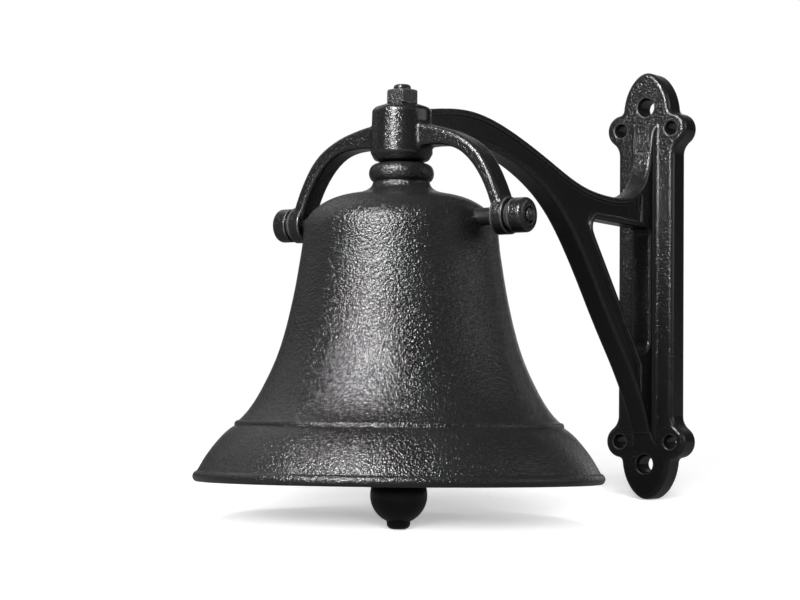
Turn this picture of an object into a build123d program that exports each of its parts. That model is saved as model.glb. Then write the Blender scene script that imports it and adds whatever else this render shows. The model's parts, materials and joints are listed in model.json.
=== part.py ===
"""Dinner bell hung from a cast wall bracket, in millimetres.

Frame: origin in the middle of the wall plate's back face, +X away from the wall,
+Y along the wall, +Z up. The bell's axis is the line x = BELL_X, y = 0.
"""

import math
import os

from build123d import *

# Bell heights are given above the rim and moved down by this amount.
RIM_Z = -108.2
BELL_X = 258.0

# Wall plate
PLATE_T = 13.5
PLATE_HALF_W = 17.6
NOSE_TOP = 121.3
NOSE_HALF_W = 15.2
LOBE_Y = 16.1
LOBE_Z = 88.8
LOBE_R = 9.0
NOSE_BASE = LOBE_Z + 0.8 * LOBE_R
BIG_HOLE_Z = 101.4
BIG_HOLE_R = 4.5
SMALL_HOLE_R = 3.2
SINK_OUT = 1.0
SINK_DEPTH = 2.2
PLATE_EDGE_R = 2.4

# Spine on the plate, same width as the arm
RIB_W = 12.0
SPINE_OUT = 4.6
SPINE_TOP = 92.0
SPINE_BOTTOM = -92.0
SPINE_FADE = 30.0
SPINE_FOOT_FADE = 10.0
CREST_R = 1.5
FOOT_R = 3.0
BORDER_W = 3.2
HOLLOW_D = 1.6

# Hub and yoke
HUB_R_TOP = 14.6
HUB_R_BOTTOM = 15.2
HUB_TOP = 184.0
HUB_BOTTOM = 155.2
HUB_LAND_R = 8.6
YOKE_W = 13.5
BOSS_R = 9.0
BOSS_IN = 56.4
BOSS_OUT = 62.9
PIN_Z = 127.2

# Crown bolt and its nuts
BOLT_R = 4.25
BOLT_BORE_R = 4.6
BOLT_TOP = 193.8
NUT_FLATS = 14.5
NUT_H = 7.0
NUT_TURN = 37.0
CROWN_Z = 131.0
INNER_WASHER_R = 10.0
INNER_WASHER_T = 1.8
INNER_NUT_H = 6.0

# Clapper
PIVOT_Z = 112.0
EYE_R = 6.5
EYE_T = 6.0
EYE_HOLE_R = 3.0
PIVOT_PIN_R = 2.95
CHEEK_T = 3.4
CHEEK_GAP = 0.3
ROD_R = 3.6
BALL_R = 13.9
BALL_Z = -6.1
NUB_R = 5.8
NUB_BOTTOM = -22.6

# Side pins
PIN_R = 4.3
PIN_END_R = 3.2
PIN_INNER = 40.8
SOCKET_BOTTOM = 40.2
WASHER_R = 6.7
WASHER_OUT = 65.4
CAP_R = 8.35
CAP_OUT = 73.4
CAP_RECESS_R = 4.3
CAP_RECESS_D = 1.6


def soften(shape, edges, radii):
    """Round edges with the first radius in the row that the solid takes."""
    edges = list(edges)
    for radius in radii:
        try:
            rounded = fillet(edges, radius)
        except Exception:
            continue
        if rounded.is_valid and len(rounded.solids()) == len(shape.solids()):
            return rounded
    return shape


def rod(radius, z0, z1):
    """Round bar on the bell's axis between two heights above the rim."""
    return Pos(BELL_X, 0, RIM_Z + z0) * Cylinder(
        radius, z1 - z0, align=(Align.CENTER, Align.CENTER, Align.MIN)
    )


def cross_bar(radius, y0, y1, z):
    """Round bar along Y through the bell's axis, height above the rim."""
    return Pos(BELL_X, y0, RIM_Z + z) * Rot(-90, 0, 0) * Cylinder(
        radius, y1 - y0, align=(Align.CENTER, Align.CENTER, Align.MIN)
    )


def wall_plate():
    """Flat strip with a three-lobed end above and below, six screw holes."""
    nose_half = [
        (0, NOSE_TOP),
        (0.22 * NOSE_HALF_W, NOSE_TOP - 0.8),
        (0.52 * NOSE_HALF_W, NOSE_TOP - 4.2),
        (0.74 * NOSE_HALF_W, NOSE_TOP - 8.8),
        (0.88 * NOSE_HALF_W, NOSE_TOP - 13.6),
        (0.96 * NOSE_HALF_W, NOSE_TOP - 18.6),
        (NOSE_HALF_W, NOSE_BASE),
    ]
    nose_edge = Spline(
        [(-y, z) for y, z in reversed(nose_half)] + nose_half[1:],
    )
    nose = make_face(nose_edge + Line(nose_edge @ 1, nose_edge @ 0))
    face = Rectangle(2 * PLATE_HALF_W, 2 * LOBE_Z) + Rectangle(1.8 * NOSE_HALF_W, 2 * NOSE_BASE + 2)
    for up in (1, -1):
        face += (nose if up == 1 else mirror(nose, Plane.XZ))
        for side in (1, -1):
            turn = 180 if side == 1 else 0
            face += Pos(side * LOBE_Y, up * LOBE_Z) * Rot(0, 0, turn) * Circle(LOBE_R)
    corners = face.vertices().filter_by(lambda v: abs(v.X) > 0.7 * NOSE_HALF_W)
    waists = corners.filter_by(lambda v: abs(v.Y) < LOBE_Z)
    notches = corners.filter_by(lambda v: abs(v.Y) > LOBE_Z)
    face = fillet(waists, 9.0)
    notches = face.vertices().filter_by(
        lambda v: any((v.center() - n.center()).length < 0.01 for n in notches)
    )
    face = fillet(notches, 3.0)
    plate = extrude(Plane.YZ * face, PLATE_T)
    front = plate.faces().sort_by(Axis.X)[-1]
    plate = soften(plate, front.edges(), (PLATE_EDGE_R, 1.6, 1.0))
    return plate


def plate_holes():
    """The six screw holes through the wall plate, each opened out at the front."""
    holes = []
    for up in (1, -1):
        holes.append((0, up * BIG_HOLE_Z, BIG_HOLE_R))
        holes.extend((s * LOBE_Y, up * LOBE_Z, SMALL_HOLE_R) for s in (1, -1))
    tools = []
    for y, z, r in holes:
        low = (Align.CENTER, Align.CENTER, Align.MIN)
        tool = Cylinder(r, PLATE_T + 10, align=low)
        sink = Cone(r, r + 2 * SINK_OUT, 2 * SINK_DEPTH, align=low)
        tool += Pos(0, 0, PLATE_T + 5 - SINK_DEPTH) * sink
        tools.append(Pos(-5, y, z) * Rot(0, 90, 0) * tool)
    return tools


def arm_curves():
    """Points along the arm's top, hub to wall, and along its underside, wall to hub."""
    f = PLATE_T
    hub = BELL_X - HUB_R_TOP + 6
    top = [
        (hub, 74.2), (f + 208.3, 77.6), (f + 193.6, 78.3), (f + 174.7, 76.8), (f + 155.3, 72.9),
        (f + 135.5, 67.4), (f + 115.2, 60.9), (f + 94.2, 53.9), (f + 75.0, 49.0), (f + 58.2, 46.9),
        (f + 40.0, 46.4), (f + 24.0, 49.0), (f + 12.4, 56.0), (f + 6.8, 64.5), (f + SPINE_OUT, 75.0),
    ]
    under = [
        (f + SPINE_OUT, -84.0), (f + 8.0, -77.2), (f + 13.6, -67.5), (f + 20.2, -58.2), (f + 31.0, -44.6),
        (f + 42.0, -32.0), (f + 55.8, -15.6), (f + 66.7, -2.1), (f + 77.1, 10.2), (f + 87.6, 21.5),
        (f + 97.4, 30.6), (f + 106.6, 37.5), (f + 116.6, 43.5), (f + 127.0, 48.4), (f + 140.0, 53.3),
        (f + 160.0, 58.5), (f + 185.0, 61.6), (hub, 59.4),
    ]
    return top, under


def window_corners():
    """Corners of the three-sided window between arm, strut and wall plate."""
    f = PLATE_T
    return [(f + SPINE_OUT, 31.6), (f + 72.3, 33.0), (f + 65.7, 23.3), (f + SPINE_OUT, -53.5)]


def arm_outline():
    """Side view of the arm and strut, open at the window."""
    f = PLATE_T
    top, under = arm_curves()
    upper, lower = Spline(top), Spline(under)
    inside = f + 1.0
    rim = (
        upper
        + Line(upper @ 1, (inside, top[-1][1]))
        + Line((inside, top[-1][1]), (inside, under[0][1]))
        + Line((inside, under[0][1]), lower @ 0)
        + lower
        + Line(lower @ 1, upper @ 0)
    )
    window = make_face(Polyline(window_corners(), close=True))
    at_wall = window.vertices().sort_by(Axis.X)[0:2].sort_by(Axis.Y)
    window = fillet(at_wall[0], 8.0)
    window = fillet(window.vertices().sort_by(Axis.Y)[-2:].sort_by(Axis.X)[0], 4.0)
    window = fillet(window.vertices().sort_by(Axis.X)[-1], 4.6)
    left = window.edges().sort_by(Axis.X)[0]
    z0, z1 = sorted(((left @ 0).Y, (left @ 1).Y))
    slot = Pos(f + SPINE_OUT / 2, (z0 + z1) / 2) * Rectangle(SPINE_OUT + 1, z1 - z0)
    return make_face(rim) - window - slot


def moved_in(points, amount):
    """Points shifted square to their row, towards its left."""
    moved = []
    for i, (x, z) in enumerate(points):
        before, after = points[max(i - 1, 0)], points[min(i + 1, len(points) - 1)]
        run, rise = after[0] - before[0], after[1] - before[1]
        size = math.hypot(run, rise)
        moved.append((x - amount * rise / size, z + amount * run / size))
    return moved


def side_hollow():
    """Face of the hollow that leaves a raised border along the arm and strut."""
    top, under = (moved_in(points, BORDER_W) for points in arm_curves())
    loop = Spline(top) + Line(top[-1], under[0]) + Spline(under) + Line(under[-1], top[0])
    window = make_face(Polyline(window_corners(), close=True))
    window = offset(window, amount=BORDER_W, kind=Kind.INTERSECTION)
    window = fillet(window.vertices().sort_by(Axis.X)[-1], 4.6 + BORDER_W)
    x0 = PLATE_T + SPINE_OUT + 10
    x1 = BELL_X - HUB_R_TOP - 4
    return (make_face(loop) - window) & (Pos((x0 + x1) / 2, 0) * Rectangle(x1 - x0, 400))


def arm():
    """Arm and strut as one rib with a shallow hollow along each side."""
    rib = extrude(Plane.XZ * arm_outline(), RIB_W / 2, both=True)
    y_out = RIB_W / 2
    x_min, x_max = PLATE_T + SPINE_OUT + 1, BELL_X - HUB_R_TOP
    long_edges = rib.edges().filter_by(
        lambda e: abs(abs(e.center().Y) - y_out) < 0.01 and x_min < e.center().X < x_max
    )
    rib = soften(rib, long_edges, (CREST_R, 1.2, 0.8))
    hollow = Plane.XZ * side_hollow()
    tool = extrude(hollow, 2 * HOLLOW_D)
    tool = soften(tool, tool.faces().sort_by(Axis.Y)[-1].edges(), (0.8, 0.5))
    tool = Pos(0, HOLLOW_D - y_out - tool.bounding_box().max.Y, 0) * tool
    rib -= tool
    rib -= mirror(tool, Plane.XZ)
    brinks = rib.edges().filter_by(
        lambda e: abs(abs(e.center().Y) - y_out) < 0.01
        and hollow.distance_to(Vertex(e.center().X, 0, e.center().Z)) < 0.02
    )
    return soften(rib, brinks, (0.7, 0.4))


def spine():
    """Raised strip up the middle of the plate, rounded above and fading at its ends."""
    f = PLATE_T
    y = RIB_W / 2
    corner = f + SPINE_OUT - CREST_R
    turn = math.sqrt(0.5)
    foot_mid = (f + FOOT_R * (1 - turn), y + FOOT_R * (1 - turn))
    crest_mid = (corner + CREST_R * turn, y - CREST_R * (1 - turn))
    half = (
        Line((f / 2, 0), (f / 2, y + FOOT_R))
        + Line((f / 2, y + FOOT_R), (f, y + FOOT_R))
        + ThreePointArc((f, y + FOOT_R), foot_mid, (f + FOOT_R, y))
        + Line((f + FOOT_R, y), (corner, y))
        + ThreePointArc((corner, y), crest_mid, (f + SPINE_OUT, y - CREST_R))
        + Line((f + SPINE_OUT, y - CREST_R), (f + SPINE_OUT, 0))
        + Line((f + SPINE_OUT, 0), (f / 2, 0))
    )
    section = make_face(half)
    section += mirror(section, Plane.XZ)
    bar = Pos(0, 0, SPINE_BOTTOM) * extrude(section, SPINE_TOP - SPINE_BOTTOM)
    front = f + SPINE_OUT + 0.2
    fall = Spline(
        (front, SPINE_TOP - SPINE_FADE), (front - 0.5, SPINE_TOP - 0.62 * SPINE_FADE),
        (front - 1.6, SPINE_TOP - 0.33 * SPINE_FADE), (f + 1.4, SPINE_TOP - 0.11 * SPINE_FADE),
        (f - 0.4, SPINE_TOP),
    )
    rest = Polyline(
        (f - 0.4, SPINE_TOP), (f / 2 - 1, SPINE_TOP), (f / 2 - 1, SPINE_BOTTOM), (f - 0.4, SPINE_BOTTOM),
        (front, SPINE_BOTTOM + SPINE_FOOT_FADE), (front, SPINE_TOP - SPINE_FADE),
    )
    bar = bar & extrude(Plane.XZ * make_face(fall + rest), 40, both=True)
    cut = bar.edges().filter_by(
        lambda e: e.center().Z > SPINE_TOP - SPINE_FADE + 1 and e.length > 6 and e.center().X > f + 0.5
        and abs(e.center().Y) > 3.0
    )
    return soften(bar, cut, (1.2, 0.8, 0.5))


def hub():
    """Round hub above the bell's crown."""
    profile = (
        Polyline(
            (0, HUB_BOTTOM), (9.6, HUB_BOTTOM), (13.4, HUB_BOTTOM + 1.5),
            (HUB_R_BOTTOM, HUB_BOTTOM + 4.8), (HUB_R_TOP, HUB_TOP - 3.2), (13.2, HUB_TOP - 1.6),
            (HUB_LAND_R, HUB_TOP), (0, HUB_TOP), close=True,
        )
    )
    body = revolve(Plane.XZ * make_face(profile), Axis.Z)
    body = Pos(BELL_X, 0, RIM_Z) * body
    rings = body.edges().filter_by(GeomType.CIRCLE).filter_by(lambda e: e.radius > 9)
    return soften(body, rings, (1.5, 1.0, 0.6))


def yoke_side():
    """One arched arm of the yoke, seen along X, on the +Y side."""
    outer = Spline(
        (0, 66.2), (13, 65.7), (20, 64.4), (26, 62.8), (32, 60.8), (38, 58.0), (44.5, 53.8), (49.5, 48.8),
        (53.2, 43.4),
        (56.0, 38.2), (58.6, 32.4), (61.0, 26.0), (BOSS_OUT - 0.2, RIM_Z + PIN_Z + 1.5),
    )
    inner = Spline(
        (BOSS_IN, RIM_Z + PIN_Z), (54.6, 25.4), (52.3, 31.4), (49.2, 37.4), (45.6, 42.8),
        (41.2, 47.6), (35.6, 51.6), (29.4, 53.7), (22, 54.5), (15, 54.3), (0, 54.2),
    )
    at_pin = (BOSS_OUT - 0.2, RIM_Z + PIN_Z)
    ends = Line(outer @ 1, at_pin) + Line(at_pin, inner @ 0) + Line(inner @ 1, outer @ 0)
    return make_face(outer + inner + ends)


def yoke():
    """Both yoke arms in one piece."""
    at_bell = Plane((BELL_X, 0, 0), x_dir=(0, 1, 0), z_dir=(1, 0, 0))
    half = extrude(at_bell * yoke_side(), YOKE_W / 2, both=True)
    arch_edges = half.edges().filter_by(
        lambda e: abs(abs(e.center().X - BELL_X) - YOKE_W / 2) < 0.01
    )
    arch_edges = arch_edges.filter_by(lambda e: e.length > 20)
    half = soften(half, arch_edges, (2.0, 1.5, 1.0))
    return half + mirror(half, Plane.XZ)


def blended(first, second, radii, keep=lambda edge: True):
    """Both solids as one, with cast rounding along the line where they meet."""
    both = first + second
    seam = [edge for edge in new_edges(first, second, combined=both) if keep(edge)]
    return soften(both, seam, radii) if seam else both


def head():
    """Hub and yoke in one, with the two bosses that hold the side pins."""
    body = yoke()
    for side in (1, -1):
        y0 = min(side * BOSS_IN, side * BOSS_OUT)
        boss = cross_bar(BOSS_R, y0, y0 + BOSS_OUT - BOSS_IN, PIN_Z)
        body = blended(
            body, boss, (3.0, 2.0, 1.2),
            lambda e: abs(e.center().X - BELL_X) > 0.4 * YOKE_W and e.center().Z > RIM_Z + PIN_Z + 3,
        )
    return blended(hub(), body, (2.4, 1.6, 1.0))


def bracket():
    """The one casting: wall plate, spine, arm, strut, hub and yoke."""
    casting = wall_plate() + spine() + arm()
    casting = blended(casting, head(), (2.0, 1.4, 0.8))
    for tool in plate_holes():
        casting -= tool
    casting -= rod(BOLT_BORE_R, HUB_BOTTOM - 5, HUB_TOP + 5)
    casting -= cross_bar(PIN_R + 0.05, BOSS_IN - 5, BOSS_OUT + 5, PIN_Z)
    casting -= cross_bar(PIN_R + 0.05, -BOSS_OUT - 5, -BOSS_IN + 5, PIN_Z)
    return casting


def bell():
    """Bell with collar and neck, hollow inside."""
    crown = Polyline((BOLT_BORE_R, CROWN_Z), (BOLT_BORE_R, HUB_BOTTOM), (9.6, HUB_BOTTOM))
    collar = Spline(
        (9.6, HUB_BOTTOM), (12.9, 154.7), (14.9, 153.3), (15.8, 151.2), (15.8, 149.0), (15.0, 147.1),
        (13.8, 146.0),
    )
    shoulder = Spline(
        (13.8, 146.0), (15.4, 142.9), (18.8, 141.1), (27.3, 139.3), (35.3, 136.6), (41.7, 132.4),
        (45.7, 127.6), (47.3, 121.8), (48.0, 114.9), (49.4, 105.2), (51.0, 95.4), (52.9, 85.7),
        (55.1, 76.0), (57.8, 66.2), (61.3, 56.5), (65.8, 46.8), (70.2, 38.8), (73.9, 33.6), (77.8, 29.5),
    )
    bead = ThreePointArc((77.8, 29.5), (79.5, 28.7), (79.8, 26.9))
    lip = Spline(
        (79.8, 26.9), (83.6, 24.1), (86.6, 21.1), (90.0, 17.0), (92.9, 13.1), (95.3, 9.3), (97.7, 5.1)
    )
    rim = ThreePointArc((97.7, 5.1), (99.85, 2.4), (98.4, 0.0))
    under = Line((98.4, 0.0), (94.2, 0.4))
    inside = Spline(
        (94.2, 0.4), (91.5, 3.4), (85.0, 12.2), (77.3, 21.2), (70.0, 28.6), (63.1, 38.2), (56.9, 50.6),
        (52.2, 64.5), (48.6, 79.0), (45.4, 93.0), (42.8, 106.5), (40.3, 117.0), (36.2, 124.6),
        (28.6, 129.0), (18.0, CROWN_Z),
    )
    roof = Line((18.0, CROWN_Z), (BOLT_BORE_R, CROWN_Z))
    profile = make_face(crown + collar + shoulder + bead + lip + rim + under + inside + roof)
    body = Pos(BELL_X, 0, RIM_Z) * revolve(Plane.XZ * profile, Axis.Z)
    body -= cross_bar(PIN_R, SOCKET_BOTTOM, 70, PIN_Z)
    body -= cross_bar(PIN_R, -70, -SOCKET_BOTTOM, PIN_Z)
    return body


def crown_bolt():
    """Threaded bar through hub and crown, forged to a flat eye below."""
    eye_top = PIVOT_Z + EYE_R + 1.2
    bar = rod(BOLT_R, eye_top, BOLT_TOP)
    top = bar.edges().filter_by(GeomType.CIRCLE).sort_by(Axis.Z)[-1]
    bar = soften(bar, [top], (1.6, 1.0))
    lug = Pos(BELL_X, 0, RIM_Z + PIVOT_Z) * Box(2 * BOLT_R, EYE_T, eye_top - PIVOT_Z + 4,
                                                align=(Align.CENTER, Align.CENTER, Align.MIN))
    lug = lug & rod(BOLT_R, PIVOT_Z, eye_top + 4)
    eye = cross_bar(EYE_R, -EYE_T / 2, EYE_T / 2, PIVOT_Z)
    body = bar + lug + eye
    return body - cross_bar(EYE_HOLE_R, -EYE_T, EYE_T, PIVOT_Z)


def hex_nut(z0, height, flats, turn, bore):
    """Hexagon nut on the bell's axis with both faces chamfered round."""
    side = flats / math.sqrt(3)
    prism = extrude(Rot(0, 0, turn) * RegularPolygon(side, 6), height)
    cone_r = side + 1.0
    drop = 0.30 * (side - flats / 2)
    cut = (
        (0, 0), (flats / 2 - 0.2, 0), (cone_r, drop + 0.9), (cone_r, height - drop - 0.9),
        (flats / 2 - 0.2, height), (0, height),
    )
    envelope = revolve(Plane.XZ * make_face(Polyline(*cut, close=True)), Axis.Z)
    nut = prism & envelope
    nut -= Pos(0, 0, -1) * Cylinder(bore, height + 2, align=(Align.CENTER, Align.CENTER, Align.MIN))
    return Pos(BELL_X, 0, RIM_Z + z0) * nut


def inner_washer():
    """Plain washer under the crown inside the bell."""
    z0 = CROWN_Z - INNER_WASHER_T
    return rod(INNER_WASHER_R, z0, CROWN_Z) - rod(BOLT_R + 0.2, z0 - 1, CROWN_Z + 1)


def clapper_rod():
    """Clapper bar with a fork over the eye, screwed into the ball below."""
    reach = EYE_T / 2 + CHEEK_GAP + CHEEK_T
    slot_bottom = PIVOT_Z - EYE_R - 1.4
    head = cross_bar(EYE_R - 0.4, -reach, reach, PIVOT_Z)
    head += Pos(BELL_X, 0, RIM_Z + slot_bottom - 5) * Box(
        2 * ROD_R + 3.0, 2 * reach, PIVOT_Z - slot_bottom + 5, align=(Align.CENTER, Align.CENTER, Align.MIN)
    )
    head = head + Pos(BELL_X, 0, RIM_Z + slot_bottom - 5) * Cone(
        ROD_R, reach, 7, align=(Align.CENTER, Align.CENTER, Align.MAX)
    )
    slot = Pos(BELL_X, 0, RIM_Z + slot_bottom) * Box(
        40, EYE_T + 2 * CHEEK_GAP, 40, align=(Align.CENTER, Align.CENTER, Align.MIN)
    )
    body = head - slot
    body += rod(ROD_R, BALL_Z - 4, slot_bottom - 11)
    return body - cross_bar(PIVOT_PIN_R, -reach - 5, reach + 5, PIVOT_Z)


def clapper_pin():
    """Rivet through fork and eye, headed at both ends."""
    reach = EYE_T / 2 + CHEEK_GAP + CHEEK_T
    pin = cross_bar(PIVOT_PIN_R, -reach - 1, reach + 1, PIVOT_Z)
    for y0, y1 in ((reach, reach + 1.6), (-reach - 1.6, -reach)):
        head = cross_bar(PIVOT_PIN_R + 1.4, y0, y1, PIVOT_Z)
        outer = head.edges().filter_by(GeomType.CIRCLE).sort_by(Axis.Y)[-1 if y0 > 0 else 0]
        pin += soften(head, [outer], (1.0, 0.6))
    return pin


def clapper_ball():
    """Ball with a short rounded stop below, bored for the bar."""
    ball = Pos(BELL_X, 0, RIM_Z + BALL_Z) * Sphere(BALL_R)
    nub = rod(NUB_R, NUB_BOTTOM, BALL_Z)
    low = nub.edges().filter_by(GeomType.CIRCLE).sort_by(Axis.Z)[0]
    ball += soften(nub, [low], (3.0, 2.0))
    return ball - rod(ROD_R, BALL_Z - 4, BALL_Z + BALL_R + 5)


def side_pin():
    """Pin from the bell's shoulder through the yoke boss to the cap."""
    pin = cross_bar(PIN_R, PIN_INNER, WASHER_OUT, PIN_Z)
    end = cross_bar(PIN_END_R, WASHER_OUT, CAP_OUT + 0.3, PIN_Z)
    tip = end.edges().filter_by(GeomType.CIRCLE).sort_by(Axis.Y)[-1]
    return pin + soften(end, [tip], (1.4, 0.8))


def side_washer():
    """Thin washer between boss and cap."""
    disc = cross_bar(WASHER_R, BOSS_OUT, WASHER_OUT, PIN_Z)
    return disc - cross_bar(PIN_R, BOSS_OUT - 1, WASHER_OUT + 1, PIN_Z)


def side_cap():
    """Round cap riveted on the pin's end, with a recess round the rivet."""
    cap = cross_bar(CAP_R, WASHER_OUT, CAP_OUT, PIN_Z)
    rings = cap.edges().filter_by(GeomType.CIRCLE)
    cap = soften(cap, [rings.sort_by(Axis.Y)[-1]], (2.2, 1.6, 1.0))
    cap -= cross_bar(CAP_RECESS_R, CAP_OUT - CAP_RECESS_D, CAP_OUT + 5, PIN_Z)
    return cap - cross_bar(PIN_END_R, WASHER_OUT - 1, CAP_OUT + 1, PIN_Z)


def main():
    """Build every piece and write one file for each."""
    nut_z = CROWN_Z - INNER_WASHER_T - INNER_NUT_H
    pieces = {
        "wall_bracket": bracket(),
        "bell": bell(),
        "crown_bolt": crown_bolt(),
        "crown_nut": hex_nut(HUB_TOP, NUT_H, NUT_FLATS, NUT_TURN, BOLT_R),
        "crown_washer": inner_washer(),
        "crown_lock_nut": hex_nut(nut_z, INNER_NUT_H, NUT_FLATS, 0, BOLT_R),
        "clapper_rod": clapper_rod(),
        "clapper_pin": clapper_pin(),
        "clapper_ball": clapper_ball(),
    }
    for word, sign in (("near", 1), ("far", -1)):
        for name, piece in (("pin", side_pin()), ("washer", side_washer()), ("cap", side_cap())):
            pieces[f"side_{name}_{word}"] = piece if sign == 1 else mirror(piece, Plane.XZ)
    os.makedirs("parts", exist_ok=True)
    for node, piece in pieces.items():
        export_step(piece, f"parts/{node}.step")


if __name__ == "__main__":
    main()
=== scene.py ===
"""Dinner bell on its cast bracket: finishes, rivet ends, light and camera.

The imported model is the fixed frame. Sizes are in millimetres until they reach
Blender, unless a name or a comment says metres. Blender works in metres in the
model's own frame: +X away from the wall, +Y along the wall, +Z up, with the
origin on the plate's back.
"""

from __future__ import annotations

import json
import logging
import math
from dataclasses import dataclass
from enum import Enum

import bmesh
import bpy
from mathutils import Matrix, Vector

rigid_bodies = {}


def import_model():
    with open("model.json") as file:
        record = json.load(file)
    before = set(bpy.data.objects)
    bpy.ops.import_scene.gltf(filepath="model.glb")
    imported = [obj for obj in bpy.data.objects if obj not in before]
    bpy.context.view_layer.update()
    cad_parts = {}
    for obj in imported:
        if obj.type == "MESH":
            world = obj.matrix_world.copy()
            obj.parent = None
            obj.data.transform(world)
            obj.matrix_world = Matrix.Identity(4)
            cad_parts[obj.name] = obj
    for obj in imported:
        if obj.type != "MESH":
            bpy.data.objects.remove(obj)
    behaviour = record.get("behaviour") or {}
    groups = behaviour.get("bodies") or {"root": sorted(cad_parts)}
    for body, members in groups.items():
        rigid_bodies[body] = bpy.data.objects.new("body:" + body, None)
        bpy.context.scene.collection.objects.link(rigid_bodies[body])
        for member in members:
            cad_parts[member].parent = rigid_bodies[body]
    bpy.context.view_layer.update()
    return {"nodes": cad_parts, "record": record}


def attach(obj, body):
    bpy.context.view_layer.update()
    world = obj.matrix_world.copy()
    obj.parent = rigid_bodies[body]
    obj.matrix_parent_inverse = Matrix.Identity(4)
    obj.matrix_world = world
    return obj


log = logging.getLogger("dinner_bell")

Colour = tuple[float, float, float]

MM = 0.001
BELL_X = 258.0
RIM_Z = -108.2
FLOOR_Z = -131.2
LAMP_AIM_Z = RIM_Z + 60.0
UP = Vector((0, 0, 1))
CREASE_DEGREES = 32.0


class Slot(Enum):
    """Material slots of the record."""

    CASTING = "casting"
    BELL = "bell_coat"
    STEEL = "dark_steel"
    CLAPPER = "clapper_black"


def add_node(
    tree: bpy.types.NodeTree, kind: str, values: dict[str | int, object] | None = None, **settings: object
) -> bpy.types.Node:
    """Add a node to a tree.

    Args:
        tree: The node tree.
        kind: The node's type without the ShaderNode prefix.
        values: Values for its input sockets, by name or number.
        settings: Properties to set on it, before the sockets.

    Returns:
        The new node.
    """
    node = tree.nodes.new("ShaderNode" + kind)
    for key, value in settings.items():
        setattr(node, key, value)
    for socket, value in (values or {}).items():
        node.inputs[socket].default_value = value
    return node


def add_math(
    tree: bpy.types.NodeTree, operation: str, a: object, b: object = 0.0, clamp: bool = False
) -> bpy.types.NodeSocket:
    """Add a Math node whose inputs are sockets or numbers.

    Args:
        tree: The node tree.
        operation: The Math node's operation.
        a: First input.
        b: Second input.
        clamp: Keep the result between 0 and 1.

    Returns:
        The node's output socket.
    """
    node = add_node(tree, "Math", operation=operation, use_clamp=clamp)
    for index, value in enumerate((a, b)):
        if isinstance(value, bpy.types.NodeSocket):
            tree.links.new(value, node.inputs[index])
        else:
            node.inputs[index].default_value = float(value)
    return node.outputs[0]


def level_right(toward: Vector) -> Vector:
    """Return the level direction to the camera's right.

    Args:
        toward: Level direction from the bell to the camera.

    Returns:
        A unit vector.
    """
    return Vector((-toward.y, toward.x, 0))


class Effect:
    """A shader node group with named sockets that the finishes share."""

    def __init__(self, name: str, inputs: dict[str, float], outputs: dict[str, str]) -> None:
        """Make the empty group.

        Args:
            name: The group's name.
            inputs: Number sockets by name, with their starting values.
            outputs: Output sockets by name, each "value" or "vector".
        """
        self.tree = bpy.data.node_groups.new(name, "ShaderNodeTree")
        for label, start in inputs.items():
            socket = self.tree.interface.new_socket(label, in_out="INPUT", socket_type="NodeSocketFloat")
            socket.default_value = start
        for label, kind in outputs.items():
            form = "NodeSocketVector" if kind == "vector" else "NodeSocketFloat"
            self.tree.interface.new_socket(label, in_out="OUTPUT", socket_type=form)
        self._source = self.tree.nodes.new("NodeGroupInput")
        self._target = self.tree.nodes.new("NodeGroupOutput")

    def node(
        self, kind: str, values: dict[str | int, object] | None = None, **settings: object
    ) -> bpy.types.Node:
        """Add a node to the group.

        Args:
            kind: The node's type without the ShaderNode prefix.
            values: Values for its input sockets, by name or number.
            settings: Properties to set on it.

        Returns:
            The new node.
        """
        return add_node(self.tree, kind, values, **settings)

    def math(self, operation: str, a: object, b: object = 0.0, clamp: bool = False) -> bpy.types.NodeSocket:
        """Add a Math node to the group.

        Args:
            operation: The Math node's operation.
            a: First input, a socket or a number.
            b: Second input, a socket or a number.
            clamp: Keep the result between 0 and 1.

        Returns:
            The node's output socket.
        """
        return add_math(self.tree, operation, a, b, clamp)

    def link(self, start: bpy.types.NodeSocket, end: bpy.types.NodeSocket) -> None:
        """Join two sockets of the group.

        Args:
            start: An output socket.
            end: An input socket.
        """
        self.tree.links.new(start, end)

    def given(self, name: str) -> bpy.types.NodeSocket:
        """Find one of the group's inputs.

        Args:
            name: The input's name.

        Returns:
            The socket that carries it inside the group.
        """
        return self._source.outputs[name]

    def give(self, name: str, start: bpy.types.NodeSocket) -> None:
        """Join a socket to one of the group's outputs.

        Args:
            name: The output's name.
            start: The socket that feeds it.
        """
        self.link(start, self._target.inputs[name])

    def place(self) -> bpy.types.NodeSocket:
        """Add the object's own coordinates.

        Returns:
            The socket that carries them, in metres.
        """
        return self.node("TexCoord").outputs["Object"]


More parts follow.
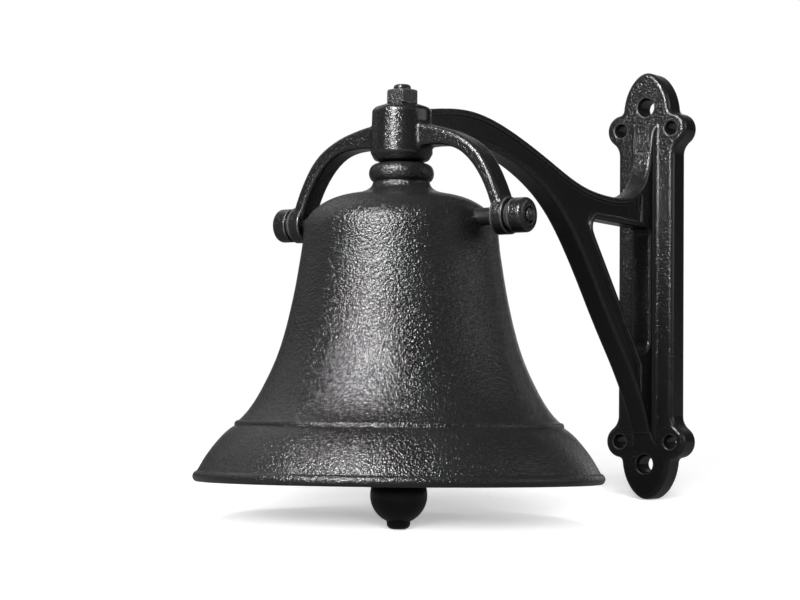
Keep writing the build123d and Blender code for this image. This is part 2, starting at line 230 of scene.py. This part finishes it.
@dataclass(frozen=True)
class CastGrain:
    """Pebbled skin of a coated sand casting, as a height and a mask of patches.

    Attributes:
        squeeze: Factors on the coordinates, which make the cells a little flatter than wide.
        layers: Scale, as a share of the cells, and detail of the main, swelling and finest noise.
        noise_rough: Roughness of the three noises.
        swell: Weight of the swelling noise.
        finest: Weight of the finest noise at full fineness.
        pit_scale: Scale of the round pits, as a share of the cells.
        pit_smooth: Smoothness of the pits.
        pit_weight: Weight of the pits.
        patches: Scale of the broad patches.
        patch_detail: Detail of the broad patches.
    """

    squeeze: tuple[float, float, float] = (1.0, 1.0, 1.1)
    layers: tuple[tuple[float, float], ...] = ((1.0, 0.8), (0.46, 0.5), (2.3, 0.0))
    noise_rough: float = 0.5
    swell: float = 0.7
    finest: float = 0.3
    pit_scale: float = 0.62
    pit_smooth: float = 0.5
    pit_weight: float = 0.25
    patches: float = 28.0
    patch_detail: float = 3.0

    def build(self) -> bpy.types.NodeTree:
        """Make the node group.

        Returns:
            The group, with the outputs Height and Patches.
        """
        inputs = {"Cells per metre": 600.0, "Fineness": 0.5, "Flat below": 0.0}
        group = Effect("cast_grain", inputs, {"Height": "value", "Patches": "value"})
        squeeze = group.node("VectorMath", {1: self.squeeze}, operation="MULTIPLY")
        group.link(group.place(), squeeze.inputs[0])
        place = squeeze.outputs["Vector"]
        cells = group.given("Cells per metre")
        heights = []
        for share, detail in self.layers:
            noise = group.node("TexNoise", {"Detail": detail, "Roughness": self.noise_rough})
            group.link(place, noise.inputs["Vector"])
            group.link(group.math("MULTIPLY", cells, share), noise.inputs["Scale"])
            heights.append(noise.outputs["Fac"])
        main, swelling, fine = heights
        pits = group.node("TexVoronoi", {"Smoothness": self.pit_smooth}, feature="SMOOTH_F1")
        group.link(place, pits.inputs["Vector"])
        group.link(group.math("MULTIPLY", cells, self.pit_scale), pits.inputs["Scale"])
        body = group.math("SUBTRACT", main, group.math("MULTIPLY", pits.outputs["Distance"], self.pit_weight))
        body = group.math("ADD", body, group.math("MULTIPLY", swelling, self.swell))
        body = group.math("MAXIMUM", body, group.given("Flat below"))
        weight = group.math("MULTIPLY", group.given("Fineness"), self.finest)
        group.give("Height", group.math("ADD", body, group.math("MULTIPLY", fine, weight)))
        broad = group.node("TexNoise", {"Scale": self.patches, "Detail": self.patch_detail})
        group.link(place, broad.inputs["Vector"])
        group.give("Patches", broad.outputs["Fac"])
        return group.tree


@dataclass(frozen=True)
class EdgeWearAndHighlight:
    """Mask of convex edges, found by how thin the metal is inside them, where the coat is rubbed and a
    highlight is painted.

    Attributes:
        reach: How far in from the surface the metal is felt for, in millimetres.
        break_up: Share of the mask that is broken into specks.
        samples: Rays for each shading point.
        open_above: Openness under which a place counts as an edge.
        gain: How fast the mask rises from there.
        specks: Scale of the specks.
        speck_detail: Detail of the specks.
        speck_range: Noise levels at which the specks start and are full.
    """

    reach: float = 1.3
    break_up: float = 0.6
    samples: int = 4
    open_above: float = 0.80
    gain: float = 3.2
    specks: float = 420.0
    speck_detail: float = 4.0
    speck_range: tuple[float, float] = (0.42, 0.62)

    def build(self) -> bpy.types.NodeTree:
        """Make the node group.

        Returns:
            The group, with the output Mask.
        """
        inputs = {"Reach mm": self.reach, "Break up": self.break_up}
        group = Effect("edge_wear_and_highlight", inputs, {"Mask": "value"})
        # Painted highlight: the coats lighten their colour with this mask, partly as rubbed coat and partly
        # in place of the highlight on the edges.
        within = group.node("AmbientOcclusion", samples=self.samples, inside=True, only_local=True)
        group.link(group.math("MULTIPLY", group.given("Reach mm"), MM), within.inputs["Distance"])
        thin = group.math("SUBTRACT", self.open_above, within.outputs["AO"])
        edge = group.math("MULTIPLY", thin, self.gain, clamp=True)
        noise = group.node("TexNoise", {"Scale": self.specks, "Detail": self.speck_detail})
        group.link(group.place(), noise.inputs["Vector"])
        start, full = self.speck_range
        specks = group.node("MapRange", {"From Min": start, "From Max": full})
        group.link(noise.outputs["Fac"], specks.inputs["Value"])
        both = group.node("Mix", data_type="FLOAT")
        group.link(group.given("Break up"), both.inputs["Factor"])
        group.link(edge, both.inputs["A"])
        group.link(group.math("MULTIPLY", edge, specks.outputs["Result"]), both.inputs["B"])
        group.give("Mask", both.outputs["Result"])
        return group.tree


@dataclass(frozen=True)
class CastRounding:
    """Normal that rolls round edges and fills corners, as a casting's do.

    Attributes:
        radius: Radius of the rounding in millimetres, where a coat sets none.
        samples: Rays for each shading point.
    """

    radius: float = 1.0
    samples: int = 6

    def build(self) -> bpy.types.NodeTree:
        """Make the node group.

        Returns:
            The group, with the output Normal.
        """
        group = Effect("cast_rounding", {"Radius mm": self.radius}, {"Normal": "vector"})
        roll = group.node("Bevel", samples=self.samples)
        group.link(group.math("MULTIPLY", group.given("Radius mm"), MM), roll.inputs["Radius"])
        group.give("Normal", roll.outputs["Normal"])
        return group.tree


@dataclass(frozen=True)
class SettledDust:
    """Mask of surfaces that face up, where fine dust settles.

    Attributes:
        amount: Strength of the mask, where a coat sets none.
        facing: How far a surface faces up where dust starts and where it is full.
        clumps: Scale of the clumps.
        clump_detail: Detail of the clumps.
    """

    amount: float = 0.3
    facing: tuple[float, float] = (0.25, 0.95)
    clumps: float = 190.0
    clump_detail: float = 5.0

    def build(self) -> bpy.types.NodeTree:
        """Make the node group.

        Returns:
            The group, with the output Mask.
        """
        group = Effect("settled_dust", {"Amount": self.amount}, {"Mask": "value"})
        upward = group.node("SeparateXYZ")
        group.link(group.node("NewGeometry").outputs["Normal"], upward.inputs[0])
        start, full = self.facing
        rise = group.node("MapRange", {"From Min": start, "From Max": full})
        group.link(upward.outputs["Z"], rise.inputs["Value"])
        noise = group.node("TexNoise", {"Scale": self.clumps, "Detail": self.clump_detail})
        group.link(group.place(), noise.inputs["Vector"])
        mask = group.math("MULTIPLY", rise.outputs["Result"], noise.outputs["Fac"])
        group.give("Mask", group.math("MULTIPLY", mask, group.given("Amount"), clamp=True))
        return group.tree


class SharedEffects:
    """The groups that every finish draws on, each built once."""

    def __init__(self) -> None:
        """Build the groups."""
        self.grain = CastGrain().build()
        self.wear_and_highlight = EdgeWearAndHighlight().build()
        self.rounding = CastRounding().build()
        self.dust = SettledDust().build()


@dataclass(frozen=True)
class BlackCoat:
    """Satin black coat over cast iron or steel.

    Attributes:
        name: The material's name.
        dark: Base colour of the coat.
        light: Base colour where it is rubbed or dusty; on the edges it is also a painted highlight.
        rough: Roughness of the flat coat.
        rough_spread: How far patches differ in roughness.
        cells: Grain cells per metre.
        depth: Height of the grain in millimetres.
        fineness: Share of the finest grain.
        flat_below: Level under which the grain is flat, so that only its tops stand out.
        rub_and_highlight: How far the edge mask lightens the colour, as rubbed coat and as a painted
            highlight.
        bare: Share of bare metal on the rubbed edges.
        polish: How much smoother the rubbed edges are, where metal shows.
        dust: Amount of dust on top.
        smooth_sides: Share of the grain that is lost on faces square to Y.
        side_power: How narrowly a face has to be square to Y for that.
        specular: Specular level of the coat.
        round_mm: Radius of the rolled edges in millimetres.
    """

    name: str
    dark: Colour = (0.008, 0.008, 0.0083)
    light: Colour = (0.10, 0.10, 0.10)
    rough: float = 0.26
    rough_spread: float = 0.03
    cells: float = 1200.0
    depth: float = 0.42
    fineness: float = 0.5
    flat_below: float = 0.0
    rub_and_highlight: float = 0.25
    bare: float = 0.0
    polish: float = 0.09
    dust: float = 0.06
    smooth_sides: float = 0.0
    side_power: float = 4.0
    specular: float = 0.5
    round_mm: float = 1.2

    def build(self, effects: SharedEffects) -> bpy.types.Material:
        """Make the material.

        Args:
            effects: The shared node groups.

        Returns:
            The finished material.
        """
        material = bpy.data.materials.new(self.name)
        material.use_nodes = True
        tree = material.node_tree
        tree.nodes.clear()
        out = add_node(tree, "OutputMaterial")
        shader = add_node(tree, "BsdfPrincipled", {"Specular IOR Level": self.specular})
        tree.links.new(shader.outputs["BSDF"], out.inputs["Surface"])
        grain = add_node(
            tree, "Group",
            {"Cells per metre": self.cells, "Fineness": self.fineness, "Flat below": self.flat_below},
            node_tree=effects.grain,
        )
        wear_and_highlight_mask = add_node(tree, "Group", node_tree=effects.wear_and_highlight).outputs["Mask"]
        colour = self._colour(tree, effects, wear_and_highlight_mask)
        tree.links.new(colour, shader.inputs["Base Color"])
        if self.bare > 0:
            metal = add_math(tree, "MULTIPLY", wear_and_highlight_mask, self.bare, clamp=True)
            tree.links.new(metal, shader.inputs["Metallic"])
        roughness = self._roughness(tree, grain.outputs["Patches"], wear_and_highlight_mask)
        tree.links.new(roughness, shader.inputs["Roughness"])
        normal = self._normal(tree, effects, grain.outputs["Height"])
        tree.links.new(normal, shader.inputs["Normal"])
        return material

    def _colour(
        self, tree: bpy.types.NodeTree, effects: SharedEffects, wear_and_highlight_mask: bpy.types.NodeSocket
    ) -> bpy.types.NodeSocket:
        """Mix the coat's colour with the pale one of rubbed edges and dusty places; on the edges it is also a
        painted highlight.

        Args:
            tree: The material's node tree.
            effects: The shared node groups.
            wear_and_highlight_mask: The mask of rubbed edges, which also carries the painted highlight.

        Returns:
            The socket that carries the colour.
        """
        # Painted highlight: the edge mask lightens the colour, partly as rubbed coat and partly in place of
        # the lamps' highlight on the rolled edges.
        pale = add_math(tree, "MULTIPLY", wear_and_highlight_mask, self.rub_and_highlight, clamp=True)
        if self.dust > 0:
            dust = add_node(tree, "Group", {"Amount": self.dust}, node_tree=effects.dust)
            pale = add_math(tree, "MAXIMUM", pale, dust.outputs["Mask"])
        ends = {"A": (*self.dark, 1.0), "B": (*self.light, 1.0)}
        colour = add_node(tree, "Mix", ends, data_type="RGBA")
        tree.links.new(pale, colour.inputs["Factor"])
        return colour.outputs["Result"]

    def _roughness(
        self, tree: bpy.types.NodeTree, patches: bpy.types.NodeSocket, wear_and_highlight_mask: bpy.types.NodeSocket
    ) -> bpy.types.NodeSocket:
        """Let the roughness differ from patch to patch and drop on bare edges.

        Args:
            tree: The material's node tree.
            patches: The mask of broad patches.
            wear_and_highlight_mask: The mask of rubbed edges, which also carries the painted highlight.

        Returns:
            The socket that carries the roughness.
        """
        spread = add_math(tree, "MULTIPLY", add_math(tree, "SUBTRACT", patches, 0.5), 2 * self.rough_spread)
        rough = add_math(tree, "ADD", spread, self.rough, clamp=True)
        if self.bare > 0:
            smoother = add_math(tree, "MULTIPLY", wear_and_highlight_mask, self.polish)
            rough = add_math(tree, "SUBTRACT", rough, smoother, clamp=True)
        return rough

    def _normal(
        self, tree: bpy.types.NodeTree, effects: SharedEffects, height: bpy.types.NodeSocket
    ) -> bpy.types.NodeSocket:
        """Lay the grain on the rolled edges.

        Args:
            tree: The material's node tree.
            effects: The shared node groups.
            height: The grain's height.

        Returns:
            The socket that carries the normal.
        """
        if self.smooth_sides > 0:
            split = add_node(tree, "SeparateXYZ")
            tree.links.new(add_node(tree, "TexCoord").outputs["Normal"], split.inputs[0])
            side = add_math(tree, "POWER", add_math(tree, "ABSOLUTE", split.outputs["Y"]), self.side_power)
            keep = add_math(tree, "SUBTRACT", 1.0, add_math(tree, "MULTIPLY", side, self.smooth_sides))
            height = add_math(tree, "MULTIPLY", height, keep)
        rolled = add_node(tree, "Group", {"Radius mm": self.round_mm}, node_tree=effects.rounding)
        bump = add_node(tree, "Bump", {"Distance": self.depth * MM})
        tree.links.new(height, bump.inputs["Height"])
        tree.links.new(rolled.outputs["Normal"], bump.inputs["Normal"])
        return bump.outputs["Normal"]


# Painted highlight: the pale edge colour of these coats is partly rubbed coat and partly stands in for the
# highlight on the edges.
COATS = {
    Slot.CASTING: BlackCoat(
        "bracket_coat", dark=(0.005, 0.005, 0.0052), light=(0.30, 0.30, 0.30), rough=0.22, cells=1300,
        depth=0.27, fineness=0.4, flat_below=0.66, rub_and_highlight=0.9, bare=0.8, dust=0.0, smooth_sides=0.7,
    ),
    Slot.BELL: BlackCoat("bell_coat", dark=(0.0055, 0.0055, 0.0057)),
    Slot.STEEL: BlackCoat(
        "steel_coat", dark=(0.006, 0.006, 0.0062), light=(0.30, 0.30, 0.30), rough=0.28, cells=1300,
        depth=0.18, fineness=0.3, flat_below=0.68, rub_and_highlight=0.4, bare=0.3, dust=0.0, round_mm=0.5,
    ),
    Slot.CLAPPER: BlackCoat("clapper_coat", dark=(0.004, 0.004, 0.0042), rough=0.34, depth=0.10, dust=0.0),
}


@dataclass(frozen=True)
class PhotoCamera:
    """The camera that took the photograph, placed from the middle of the bell's mouth.

    Attributes:
        azimuth: Direction to the camera, from +Y towards +X, in degrees.
        distance: Level distance from the bell's axis in millimetres.
        lens: Focal length in millimetres.
        sensor: Width of the sensor in millimetres.
        pitch: How far the camera looks up, in degrees.
        roll: How far it leans, in degrees.
        aside: How far it stands to the right of the bell's axis, in millimetres.
        height: Height above the bell's rim in millimetres.
        clip: Nearest and farthest distance that it sees, in metres.
    """

    azimuth: float = 55.419
    distance: float = 1205.213
    lens: float = 111.64
    sensor: float = 36.0
    pitch: float = 2.854
    roll: float = 0.507
    aside: float = -0.208
    height: float = 28.388
    clip: tuple[float, float] = (0.01, 50.0)

    def toward(self) -> Vector:
        """Find where the camera stands.

        Returns:
            The level direction from the bell to the camera.
        """
        azimuth = math.radians(self.azimuth)
        return Vector((math.sin(azimuth), math.cos(azimuth), 0))

    def place(self) -> None:
        """Make the camera and hand it to the scene."""
        pitch, roll = math.radians(self.pitch), math.radians(self.roll)
        toward = self.toward()
        right = level_right(toward)
        forward = -toward * math.cos(pitch) + UP * math.sin(pitch)
        up = right.cross(forward)
        tilted = right * math.cos(roll) + up * math.sin(roll)
        upright = -right * math.sin(roll) + up * math.cos(roll)
        spot = Vector((BELL_X, 0, RIM_Z + self.height)) + toward * self.distance + right * self.aside
        data = bpy.data.cameras.new("photo_camera")
        data.lens, data.sensor_width = self.lens, self.sensor
        data.clip_start, data.clip_end = self.clip
        camera = bpy.data.objects.new("photo_camera", data)
        turned = Matrix((tilted, upright, -forward)).transposed().to_4x4()
        camera.matrix_world = Matrix.Translation(spot * MM) @ turned
        bpy.context.scene.collection.objects.link(camera)
        bpy.context.scene.camera = camera


@dataclass(frozen=True)
class Softbox:
    """A rectangular lamp aimed at the bell.

    Attributes:
        name: The lamp's name.
        aside: Angle from the camera, positive to its right, in degrees.
        rise: Angle above the horizon, in degrees.
        away: Distance from the bell in millimetres.
        size: Width and height in millimetres.
        power: Watts.
    """

    name: str
    aside: float
    rise: float
    away: float
    size: tuple[float, float]
    power: float

    def place(self, toward: Vector) -> bpy.types.Object:
        """Make the lamp.

        Args:
            toward: Level direction from the bell to the camera.

        Returns:
            The lamp.
        """
        turn, rise = math.radians(self.aside), math.radians(self.rise)
        level = toward * math.cos(turn) + level_right(toward) * math.sin(turn)
        out = level * math.cos(rise) + UP * math.sin(rise)
        data = bpy.data.lights.new(self.name, "AREA")
        data.shape = "RECTANGLE"
        data.size, data.size_y = self.size[0] * MM, self.size[1] * MM
        data.energy = self.power
        lamp = bpy.data.objects.new(self.name, data)
        lamp.location = (Vector((BELL_X, 0, LAMP_AIM_Z)) + out * self.away) * MM
        lamp.rotation_mode = "QUATERNION"
        lamp.rotation_quaternion = (-out).to_track_quat("-Z", "Y")
        bpy.context.scene.collection.objects.link(lamp)
        return lamp


@dataclass(frozen=True)
class Table:
    """White table under the clapper's stop and the plate's lower end, running into white.

    Attributes:
        reach: Distance from the middle to each side, in metres.
        rise_to_wall: How much the table rises per metre towards the wall.
        rise_to_far: How much it rises per metre towards the bell's far side.
        near: Radius of the part that keeps its own shading, in metres.
        far: Radius where it has run into plain white, in metres.
        white: Its level to the camera.
        shade: Its level to other rays, so that it doesn't light the object from below.
        mirrored: Share of the white level that reflections show.
        glow: Light of its own that the camera sees.
        rough: Roughness.
    """

    reach: float = 30.0
    rise_to_wall: float = 0.0375
    rise_to_far: float = 0.044
    near: float = 0.3
    far: float = 0.75
    white: float = 0.97
    shade: float = 0.06
    mirrored: float = 0.1
    glow: float = 0.34
    rough: float = 0.9

    def build(self) -> bpy.types.Object:
        """Make the table.

        Returns:
            The table.
        """
        mesh = bpy.data.meshes.new("floor")
        corners = [(x * self.reach, y * self.reach, 0) for x, y in ((-1, -1), (1, -1), (1, 1), (-1, 1))]
        mesh.from_pydata(corners, [], [(0, 1, 2, 3)])
        mesh.materials.append(self._material())
        floor = bpy.data.objects.new("floor", mesh)
        up = Vector((self.rise_to_wall, self.rise_to_far, 1.0)).normalized()
        floor.rotation_mode = "QUATERNION"
        floor.rotation_quaternion = up.to_track_quat("Z", "Y")
        floor.location = Vector((BELL_X, 0, FLOOR_Z)) * MM
        bpy.context.scene.collection.objects.link(floor)
        return floor

    def _material(self) -> bpy.types.Material:
        """Make the table's surface.

        Returns:
            The material.
        """
        material = bpy.data.materials.new("white_floor")
        material.use_nodes = True
        tree = material.node_tree
        away = add_node(tree, "VectorMath", operation="LENGTH")
        tree.links.new(add_node(tree, "TexCoord").outputs["Object"], away.inputs[0])
        ends = {"From Min": self.near, "From Max": self.far}
        fade = add_node(tree, "MapRange", ends, interpolation_type="SMOOTHSTEP")
        tree.links.new(away.outputs["Value"], fade.inputs["Value"])
        path = add_node(tree, "LightPath")
        seen = add_math(tree, "MAXIMUM", path.outputs["Is Camera Ray"], path.outputs["Is Transmission Ray"])
        mirror = add_math(tree, "MULTIPLY", path.outputs["Is Glossy Ray"], self.mirrored)
        seen = add_math(tree, "MAXIMUM", seen, mirror)
        levels = {"A": (*[self.shade] * 3, 1.0), "B": (*[self.white] * 3, 1.0)}
        tint = add_node(tree, "Mix", levels, data_type="RGBA")
        tree.links.new(seen, tint.inputs["Factor"])
        shader = tree.nodes["Principled BSDF"]
        shader.inputs["Roughness"].default_value = self.rough
        shader.inputs["Specular IOR Level"].default_value = 0.0
        shader.inputs["Emission Color"].default_value = (1, 1, 1, 1)
        tree.links.new(tint.outputs["Result"], shader.inputs["Base Color"])
        tree.links.new(add_math(tree, "MULTIPLY", seen, self.glow), shader.inputs["Emission Strength"])
        blend = add_node(tree, "MixShader")
        tree.links.new(add_math(tree, "MULTIPLY", seen, fade.outputs["Result"]), blend.inputs[0])
        tree.links.new(shader.outputs[0], blend.inputs[1])
        tree.links.new(add_node(tree, "Emission").outputs[0], blend.inputs[2])
        tree.links.new(blend.outputs[0], tree.nodes["Material Output"].inputs["Surface"])
        return material


@dataclass(frozen=True)
class Studio:
    """White table and white sweep behind the bell, soft lamps in a dim room.

    Attributes:
        lamps: The lamps that light the object and not the table.
        table_lamps: The lamps that light the table alone, so that its shadow lies behind the bell.
        ambient: Level of light that the surroundings give.
        room: Brightness of the room on the camera's side in reflections.
        aside: How far the white sweep stands to the right of straight behind, in degrees.
        sweep_from: Cosine of the angle from its middle at which the sweep begins in reflections.
    """

    lamps: tuple[Softbox, ...] = (
        Softbox("key_low", -34, 13, 1500, (300, 300), 11.5),
        Softbox("key_mid", -34, 36, 1500, (300, 300), 48.0),
        Softbox("key_high", -34, 52, 1500, (300, 300), 14.0),
        Softbox("fill_right", 84, 18, 1700, (1300, 800), 4.6),
        Softbox("back_high", 196, 42, 1700, (1100, 800), 2.2),
        Softbox("back_left", -128, 30, 1700, (900, 900), 1.6),
    )
    table_lamps: tuple[Softbox, ...] = (
        Softbox("table_low", -2, 6, 1500, (1000, 220), 76.0),
        Softbox("table_high", -6, 37, 1500, (900, 400), 21.0),
    )
    ambient: float = 0.28
    room: float = 0.05
    aside: float = 14.0
    sweep_from: float = 0.86

    def build(self, toward: Vector) -> None:
        """Make world, table and lamps.

        Args:
            toward: Level direction from the bell to the camera.
        """
        self._world(toward)
        floor = Table().build()
        for lamps, state in ((self.lamps, "EXCLUDE"), (self.table_lamps, "INCLUDE")):
            lit = bpy.data.collections.new(f"table_{state.lower()}d")
            lit.objects.link(floor)
            lit.collection_objects[0].light_linking.link_state = state
            for lamp in lamps:
                lamp.place(toward).light_linking.receiver_collection = lit

    def _world(self, toward: Vector) -> None:
        """Make it white to the camera, a white sweep in reflections and plain light elsewhere.

        Args:
            toward: Level direction from the bell to the camera.
        """
        world = bpy.data.worlds.new("white_studio")
        bpy.context.scene.world = world
        world.use_nodes = True
        tree = world.node_tree
        tree.nodes.clear()
        out = add_node(tree, "OutputWorld")
        back = add_node(tree, "Background", {"Color": (1.0, 1.0, 1.0, 1.0)})
        path = add_node(tree, "LightPath")
        glossy = path.outputs["Is Glossy Ray"]
        turn = math.radians(self.aside)
        middle = level_right(toward) * math.sin(turn) - toward * math.cos(turn)
        behind = add_node(tree, "VectorMath", {1: middle}, operation="DOT_PRODUCT")
        tree.links.new(add_node(tree, "TexCoord").outputs["Generated"], behind.inputs[0])
        ends = {"From Min": self.sweep_from, "From Max": 1.0, "To Min": self.room, "To Max": 1.0}
        sweep = add_node(tree, "MapRange", ends, interpolation_type="SMOOTHSTEP")
        tree.links.new(behind.outputs["Value"], sweep.inputs["Value"])
        mirrored = add_math(tree, "MULTIPLY", glossy, sweep.outputs["Result"])
        clear = add_math(tree, "MAXIMUM", path.outputs["Is Camera Ray"], path.outputs["Is Transmission Ray"])
        plain = add_math(tree, "SUBTRACT", 1.0, add_math(tree, "MAXIMUM", clear, glossy))
        seen = add_math(tree, "MAXIMUM", clear, mirrored)
        level = add_math(tree, "ADD", seen, add_math(tree, "MULTIPLY", plain, self.ambient))
        tree.links.new(level, back.inputs["Strength"])
        tree.links.new(back.outputs[0], out.inputs["Surface"])


@dataclass(frozen=True)
class RivetEnds:
    """Domed rivet ends in the recesses of the side caps.

    Attributes:
        radius: Radius of the dome at its foot.
        rise: Height of the dome.
        out: How far the foot stands from the bell's middle plane.
        up: Height above the bell's rim.
        around: Segments round the dome.
        rings: Rings from end to end.
        crease: Angle in degrees above which an edge stays crisp.
    """

    radius: float = 3.1
    rise: float = 1.5
    out: float = 73.5
    up: float = 127.2
    around: int = 32
    rings: int = 16
    crease: float = 60.0

    def build(self, material: bpy.types.Material) -> None:
        """Make both domes and let them ride on the bracket.

        Args:
            material: The coat of the steel pieces.
        """
        for name, side in (("rivet_dome_near", 1), ("rivet_dome_far", -1)):
            work = bmesh.new()
            bmesh.ops.create_uvsphere(work, u_segments=self.around, v_segments=self.rings, radius=1.0)
            bmesh.ops.scale(work, vec=Vector((self.radius, self.rise, self.radius)) * MM, verts=work.verts)
            mesh = bpy.data.meshes.new(name)
            work.to_mesh(mesh)
            work.free()
            dome = bpy.data.objects.new(name, mesh)
            dome.location = Vector((BELL_X, side * self.out, RIM_Z + self.up)) * MM
            bpy.context.scene.collection.objects.link(dome)
            dress(dome, material)
            smooth(dome, self.crease)
            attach(dome, "bracket")
            log.info("added %s", name)


def smooth(obj: bpy.types.Object, crease: float = CREASE_DEGREES) -> None:
    """Shade an object smooth, with its sharp edges left crisp.

    Args:
        obj: The object.
        crease: Angle in degrees above which an edge stays crisp.
    """
    mesh = obj.data
    mesh.polygons.foreach_set("use_smooth", [True] * len(mesh.polygons))
    limit = math.radians(crease)
    work = bmesh.new()
    work.from_mesh(mesh)
    for edge in work.edges:
        edge.smooth = len(edge.link_faces) == 2 and edge.calc_face_angle(0.0) < limit
    work.to_mesh(mesh)
    work.free()


def dress(obj: bpy.types.Object, material: bpy.types.Material) -> None:
    """Give an object one material.

    Args:
        obj: The object.
        material: Its only material from now on.
    """
    obj.data.materials.clear()
    obj.data.materials.append(material)


def main() -> None:
    """Load the frame, dress every piece, set light and camera."""
    logging.basicConfig(level=logging.INFO, format="%(message)s")
    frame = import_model()
    for obj in list(bpy.data.objects):
        if obj.type in {"LIGHT", "CAMERA"}:
            bpy.data.objects.remove(obj)
    bpy.context.scene.view_settings.view_transform = "Standard"
    effects = SharedEffects()
    made = {place.value: coat.build(effects) for place, coat in COATS.items()}
    for entry in frame["record"]["subparts"]:
        node = frame["nodes"][entry["node"]]
        dress(node, made[entry["material_slot"]])
        smooth(node)
        log.info("dressed %s", entry["node"])
    RivetEnds().build(made[Slot.STEEL.value])
    camera = PhotoCamera()
    camera.place()
    Studio().build(camera.toward())
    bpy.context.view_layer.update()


if __name__ == "__main__":
    main()
